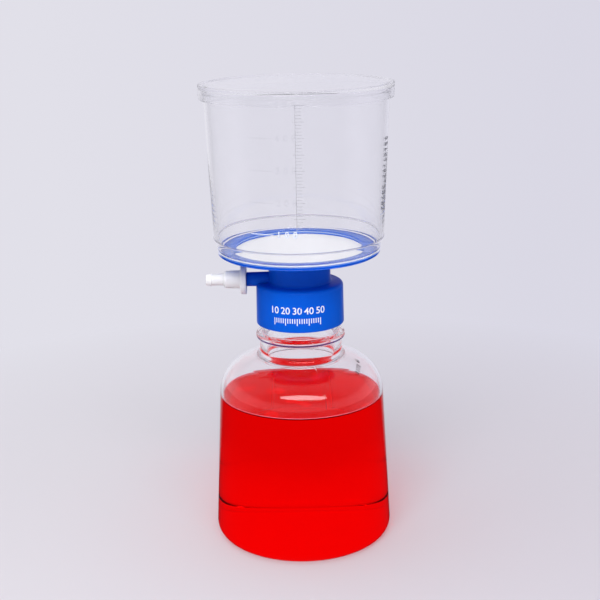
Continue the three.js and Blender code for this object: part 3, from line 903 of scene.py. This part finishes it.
# ---- assembly ------------------------------------------------------------------------
WELD_IOR = 1.01  # where two pieces touch, so that nothing is mirrored there
CHAMBER_IOR = 1.42
CONTACT_WAVE = 0.02
WET_TINT = (0.997, 0.99, 0.99)
CLEAR_BOTTLE = clear_plastic("clear_bottle", ior=1.42)
CLEAR_CHAMBER = clear_plastic("clear_chamber", ior=CHAMBER_IOR, wave=0.04, drawn=0.06)
CLEAR_LID = clear_plastic("clear_lid", ior=1.36, wave=0.05)
BLUE = moulded("blue_plastic", (0.0006, 0.110, 0.69), (0.0006, 0.092, 0.62))

make_camera()
BOTTLE, FIRST_INSIDE_ROW, BOTTLE_ROWS = receiver_bottle()
finish_piece(BOTTLE, CLEAR_BOTTLE, "receiver", "clear_plastic", "receiver_bottle")
zone_materials(BOTTLE, FIRST_INSIDE_ROW, BOTTLE_ROWS,
               clear_plastic("wet_bottle", WET_TINT, ior=1.03, wave=CONTACT_WAVE),
               clear_plastic("wet_outside", WET_TINT, ior=1.36, wave=0.06),
               clear_plastic("wet_underside", WET_TINT, ior=WELD_IOR, wave=CONTACT_WAVE),
               # the bead's dark violet tint is a painted reflection of the blue collar and the red
               # liquid
               clear_plastic("bead_painted_reflection", (0.025, 0.005, 0.07)))
finish_piece(filtrate(), red_liquid(), "receiver", "red_liquid", "filtrate")
# the meniscus ring's pink is a painted highlight
finish_piece(meniscus(), ink("meniscus_painted_highlight", (0.95, 0.17, 0.24), (0.88, 0.11, 0.17)),
             "receiver", "red_liquid")
BASE = filter_base()
finish_piece(BASE, BLUE, "filter_head", "blue_plastic", "filter_base")
# painted reflection: the rim's top faces are a lighter blue, for the clear foot's reflections over
# them
paint_faces(BASE, moulded("blue_rim_painted_reflection", (0.03, 0.17, 0.72), (0.06, 0.21, 0.76)),
            lambda r, z: r > LAND_INNER + 0.1 and z > RIM_TOP - 0.05)
MEMBRANE_WHITE = porous("membrane_white", (0.80, 0.80, 0.80), (0.75, 0.75, 0.755), 900, 0.0001)
finish_piece(membrane(), MEMBRANE_WHITE, "filter_head", "membrane_white", "membrane")
GASKET_WHITE = porous("gasket_white", (0.72, 0.72, 0.74), (0.62, 0.62, 0.65), 1400, 0.0001)
finish_piece(neck_gasket(), GASKET_WHITE, "seal", "gasket_white", "neck_gasket")
COTTON = porous("cotton", (0.88, 0.87, 0.84), (0.70, 0.69, 0.66), 1800, 0.0003)
finish_piece(vent_plug(), COTTON, "filter_head", "cotton", "vent_plug")
finish_piece(tubing_adapter(), milky("milky_plastic"), "adapter", "milky_plastic",
             "tubing_adapter")
CHAMBER = finish_piece(upper_chamber(), CLEAR_CHAMBER, "filter_head", "clear_plastic",
                       "upper_chamber")
BONDED_BELOW = RIM_TOP + 0.35
CORNER_MIDDLE = CHAMBER_CORNER_HEIGHT - 0.05
paint_faces(CHAMBER, clear_plastic("welded_chamber", ior=WELD_IOR, wave=CONTACT_WAVE),
            lambda r, z: r < FLANGE_RADIUS and z < BONDED_BELOW)
# painted reflection: the clear foot's inner edge is tinted blue, for the blue rim's light seen in
# it
paint_faces(CHAMBER, clear_plastic("chamber_edge_painted_blue", (0.30, 0.50, 0.97), CHAMBER_IOR, CONTACT_WAVE),
            lambda r, z: r < LAND_INNER + 0.3 and z > BONDED_BELOW)
# painted shade: the corner lip is tinted grey-violet for the dark line along the corner
paint_faces(CHAMBER, clear_plastic("corner_painted_dark_line", (0.50, 0.48, 0.56), CHAMBER_IOR, CONTACT_WAVE),
            lambda r, z: r > CHAMBER_CORNER_RADIUS + 0.1 and abs(z - CORNER_MIDDLE) < 0.35)
finish_piece(lid(), CLEAR_LID, "lid", "clear_plastic", "lid")
finish_piece(chamber_scale(), ink("ink_grey", (0.38, 0.38, 0.42), (0.46, 0.46, 0.50)),
             "filter_head", "print_white")
finish_piece(chamber_numbers("chamber_number_low", [100], 4.4, 0.1),
             ink("ink_pale", (0.72, 0.78, 0.92), (0.64, 0.71, 0.88)), "filter_head", "print_white")
finish_piece(chamber_numbers("chamber_numbers_high", [200, 300, 400, 500], 4.6, 0.12),
             CLEAR_CHAMBER, "filter_head", "clear_plastic")
finish_piece(chamber_print(), ink("ink_dark", (0.17, 0.17, 0.20), (0.30, 0.30, 0.34)),
             "filter_head", "print_dark")
finish_piece(bottle_print(), ink("ink_dark_bottle", (0.01, 0.01, 0.015), (0.04, 0.04, 0.05)),
             "receiver", "print_dark")
finish_piece(collar_print(), ink("ink_white", (0.90, 0.91, 0.95), (0.80, 0.82, 0.90)),
             "filter_head", "print_white")


# ---- floor, light --------------------------------------------------------------------
# The floor and backdrop are painted lighter on the left and darker on the right: painted shade for
# light from the left.
BACKDROP_LEFT = (0.755, 0.745, 0.815)
BACKDROP_RIGHT = (0.700, 0.688, 0.780)
FLOOR_LEFT = (0.72, 0.69, 0.74)
FLOOR_RIGHT = (0.67, 0.63, 0.69)
BACKDROP_SPREAD = 0.22  # sideways share of a heading where left and right are reached
FLOOR_RADIUS = 12  # metres
WORLD_LIGHT = (0.98, 0.98, 1.0, 1)
WORLD_STRENGTH = 0.5
DARK_ROOM = (0.015, 0.015, 0.02, 1)
# Painted light: rays through plastic see the backdrop brighter by this gain, and the floor beside
# the unit brighter still.
SEEN_THROUGH_GAIN = 0.10
SEEN_THROUGH_GAIN_NEAR = 0.32  # on the floor beside the unit


def shown_ray(nodes):
    """1 for rays that look at the stage: camera rays, reflections and refractions."""
    first = nodes.math("MAXIMUM", nodes.path("Is Camera Ray"), nodes.path("Is Glossy Ray"))
    return nodes.math("MAXIMUM", first, nodes.path("Is Transmission Ray"))


def seen_through(nodes, gain=SEEN_THROUGH_GAIN):
    """Strength of the backdrop: 1, and more by gain for rays that come through plastic, a painted
    glow seen only through it.
    """
    return nodes.math("MULTIPLY_ADD", nodes.path("Is Transmission Ray"), gain, 1.0)


def backdrop_side(nodes, sideways, length):
    """0 at the backdrop's left end and 1 at its right, from a place or a heading; it blends the
    painted shade that darkens the right side.
    """
    share = nodes.math("DIVIDE", sideways, length)
    return nodes.ramp(share, 0, 1, -BACKDROP_SPREAD, BACKDROP_SPREAD)


def dark_side(nodes, behind, mirrored):
    """1 where a reflected ray finds the dark side of the studio. behind is how far the
    ray heads straight behind the unit, where the backdrop is, and mirrored is the
    darkness for rays that no plastic has bent."""
    reflected = nodes.math("GREATER_THAN", nodes.path("Glossy Depth"), 0.5)
    bent = nodes.ramp(behind, 0.5, 0, -0.5, -0.15)
    room = nodes.add("ShaderNodeMix", {
        0: nodes.path("Is Transmission Ray"), 2: mirrored, 3: bent}).outputs[0]
    return nodes.math("MULTIPLY", reflected, room)


def make_floor():
    """Pale paper that shows the object's shadow near it and runs into the backdrop. Rays through
    plastic see it as painted light everywhere: unshadowed, and glowing brighter beside the unit.
    """
    bm = bmesh.new()
    bmesh.ops.create_circle(bm, cap_ends=True, segments=128, radius=FLOOR_RADIUS)
    floor = from_bmesh("floor", bm)
    n = material_nodes("floor_paper")
    place = n.add("ShaderNodeTexCoord").outputs["Object"]
    x, y = n.add("ShaderNodeSeparateXYZ", {0: place}).outputs[:2]
    reach = n.add("ShaderNodeVectorMath", {0: place}, operation="LENGTH").outputs["Value"]
    across = backdrop_side(n, x, n.math("ADD", reach, 0.5))
    grain = n.noise(220, 4, 0.6)
    lit = n.add("ShaderNodeBsdfPrincipled", {
        "Base Color": n.mix(across, FLOOR_LEFT, FLOOR_RIGHT), "Roughness": 0.85,
        "Specular IOR Level": 0.1, "Normal": n.bump(grain, 0.05, 0.0004),
    }).outputs[0]
    # painted light: the floor beside the unit glows brighter through plastic
    gain = n.ramp(reach, SEEN_THROUGH_GAIN_NEAR, SEEN_THROUGH_GAIN, 0.05, 0.12)
    far = n.add("ShaderNodeEmission", {"Color": n.mix(across, BACKDROP_LEFT, BACKDROP_RIGHT),
                                       "Strength": seen_through(n, gain)}).outputs[0]
    fade = n.ramp(reach, 0, 1, 0.10, 0.42)
    # rays through plastic see the unshadowed glowing paper everywhere: painted light
    far_or_bent = n.math("MAXIMUM", fade, n.path("Is Transmission Ray"))
    paper = n.mix_shader(n.math("MULTIPLY", far_or_bent, shown_ray(n)), lit, far)
    behind = n.math("DIVIDE", y, reach)
    dark = n.add("ShaderNodeEmission", {"Color": DARK_ROOM}).outputs[0]
    darkness = dark_side(n, behind, n.ramp(behind, 1, 0, 0.7, 0.9))
    floor.data.materials.append(n.output(n.mix_shader(darkness, paper, dark)))


def make_world():
    """Even light from all round, with the floor's backdrop carried on above it. Mirrored
    rays that head up steeply find a dark room there, as in a studio."""
    world = bpy.data.worlds.new("studio")
    bpy.context.scene.world = world
    n = Nodes(world)
    heading = n.add("ShaderNodeTexCoord").outputs["Generated"]
    x, y = n.add("ShaderNodeSeparateXYZ", {0: heading}).outputs[:2]
    flat = n.add("ShaderNodeVectorMath", {0: heading, 1: (1, 1, 0)},
                 operation="MULTIPLY").outputs[0]
    level = n.add("ShaderNodeVectorMath", {0: flat}, operation="LENGTH").outputs["Value"]
    across = backdrop_side(n, x, level)
    light = n.add("ShaderNodeBackground", {
        "Color": WORLD_LIGHT, "Strength": WORLD_STRENGTH}).outputs[0]
    # the backdrop carries the painted shade, darker to the right
    shown = n.add("ShaderNodeBackground", {"Color": n.mix(across, BACKDROP_LEFT, BACKDROP_RIGHT),
                                           "Strength": seen_through(n)}).outputs[0]
    dark = n.add("ShaderNodeBackground", {"Color": DARK_ROOM, "Strength": 1.0}).outputs[0]
    room = n.mix_shader(shown_ray(n), light, shown)
    steep = n.ramp(level, 1, 0, 0.90, 0.965)
    room = n.mix_shader(dark_side(n, y, steep), room, dark)
    n.add("ShaderNodeOutputWorld", {"Surface": room})


def make_lamp(name, place, target, width, height, power,
              shape="RECTANGLE", turn=0, in_gloss=True):
    """An area lamp in metres and watts; in_gloss says whether reflections show it."""
    data = bpy.data.lights.new(name, "AREA")
    data.shape, data.size, data.size_y, data.energy = shape, width, height, power
    lamp = placed(name, data)
    aim = (Vector(target) - Vector(place)).to_track_quat("-Z", "Y").to_matrix().to_4x4()
    spin = Matrix.Rotation(math.radians(turn), 4, "Z")
    lamp.matrix_world = Matrix.Translation(place) @ aim @ spin
    lamp.visible_glossy = lamp.visible_transmission = in_gloss


make_floor()
make_world()
make_lamp("strip", (0.08, -1.2, 1.22), (0, 0, 0.1), 1.9, 0.42, 12, shape="ELLIPSE", turn=-6)
make_lamp("front_fill", (-0.4, -1.45, 1.5), (0, 0, 0.12), 1.2, 1.2, 17, in_gloss=False)
make_lamp("overhead", (-0.5, 0.1, 1.9), (0, 0, 0.1), 1.4, 1.4, 3, in_gloss=False)

scene = bpy.context.scene
scene.view_settings.view_transform = "Standard"
for limit in ("max_bounces", "glossy_bounces", "transmission_bounces", "transparent_max_bounces"):
    setattr(scene.cycles, limit, 32)
